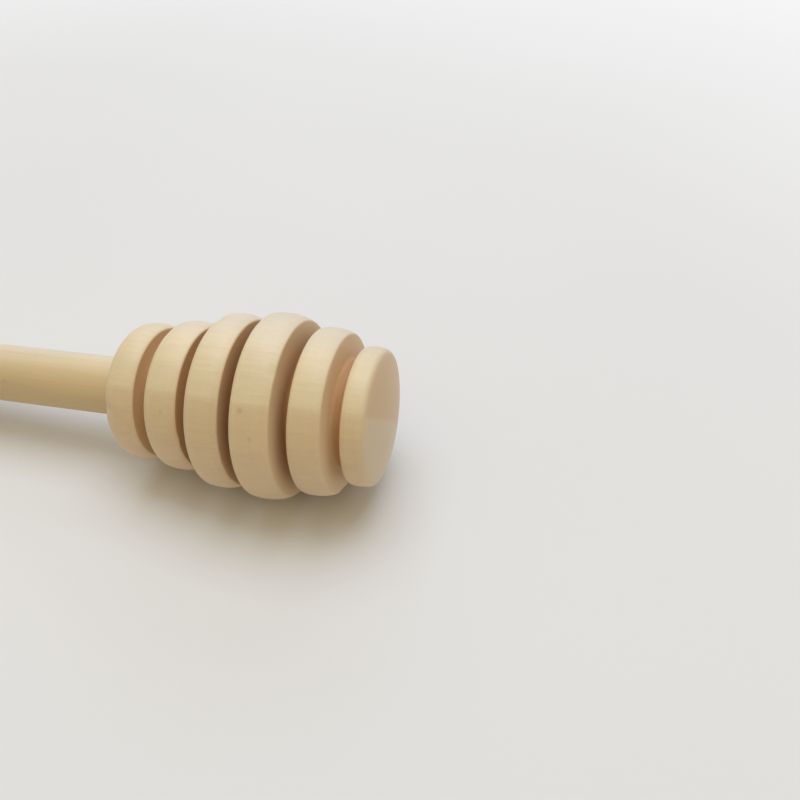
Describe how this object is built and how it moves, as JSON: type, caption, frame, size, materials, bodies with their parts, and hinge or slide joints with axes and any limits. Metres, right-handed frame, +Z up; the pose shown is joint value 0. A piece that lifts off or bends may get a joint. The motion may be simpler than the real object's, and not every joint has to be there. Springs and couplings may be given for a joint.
{
  "type": "honey dipper",
  "caption": "Turned wooden honey dipper: a barrel-shaped head of grooved rings with a domed tip, glued onto a plain round handle.",
  "frame": {"origin": "on the table, under the middle of the dipper's box as it lies at rest", "axes": "+X from the handle's free end towards the tip, along the table; +Z up"},
  "size_m": [0.1596, 0.028, 0.0281],
  "materials": {
    "head_wood": "bare sanded pale hardwood",
    "handle_wood": "bare sanded pale hardwood",
    "glue": "cured wood glue"
  },
  "bodies": {
    "root": {"dipper_head": "head_wood", "handle": "handle_wood", "glue_film": "glue"}
  },
  "joints": []
}
